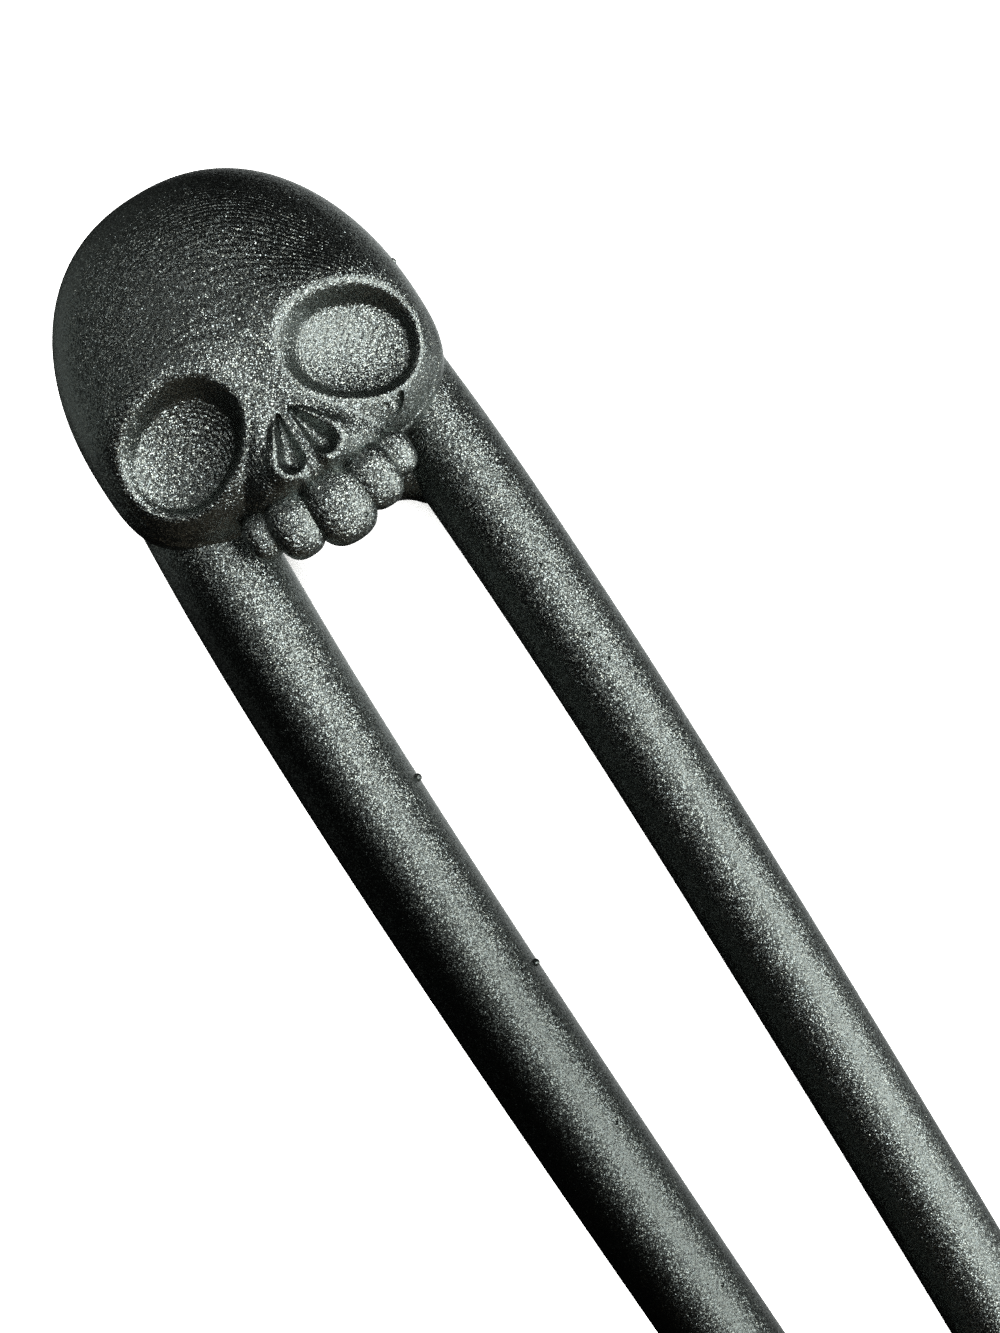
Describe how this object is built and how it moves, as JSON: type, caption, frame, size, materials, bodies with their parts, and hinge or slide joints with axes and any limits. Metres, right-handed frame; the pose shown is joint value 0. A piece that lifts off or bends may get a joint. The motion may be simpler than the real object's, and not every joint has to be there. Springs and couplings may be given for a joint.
{
  "type": "hair fork",
  "caption": "Hair fork cast in one piece: a wide rounded skull head with deep eye sockets and peg teeth, on round prongs with rounded tips.",
  "frame": {"origin": "on the surface the fork lies on, in the middle of its length and width", "axes": "+X across the prongs, +Y along them towards the crown of the skull, +Z out of the skull's face"},
  "size_m": [0.0252, 0.127, 0.0135],
  "materials": {
    "sparkle_resin": "satin, black resin full of fine silver metallic flakes"
  },
  "bodies": {
    "root": {"hair_fork": "sparkle_resin"}
  },
  "joints": []
}
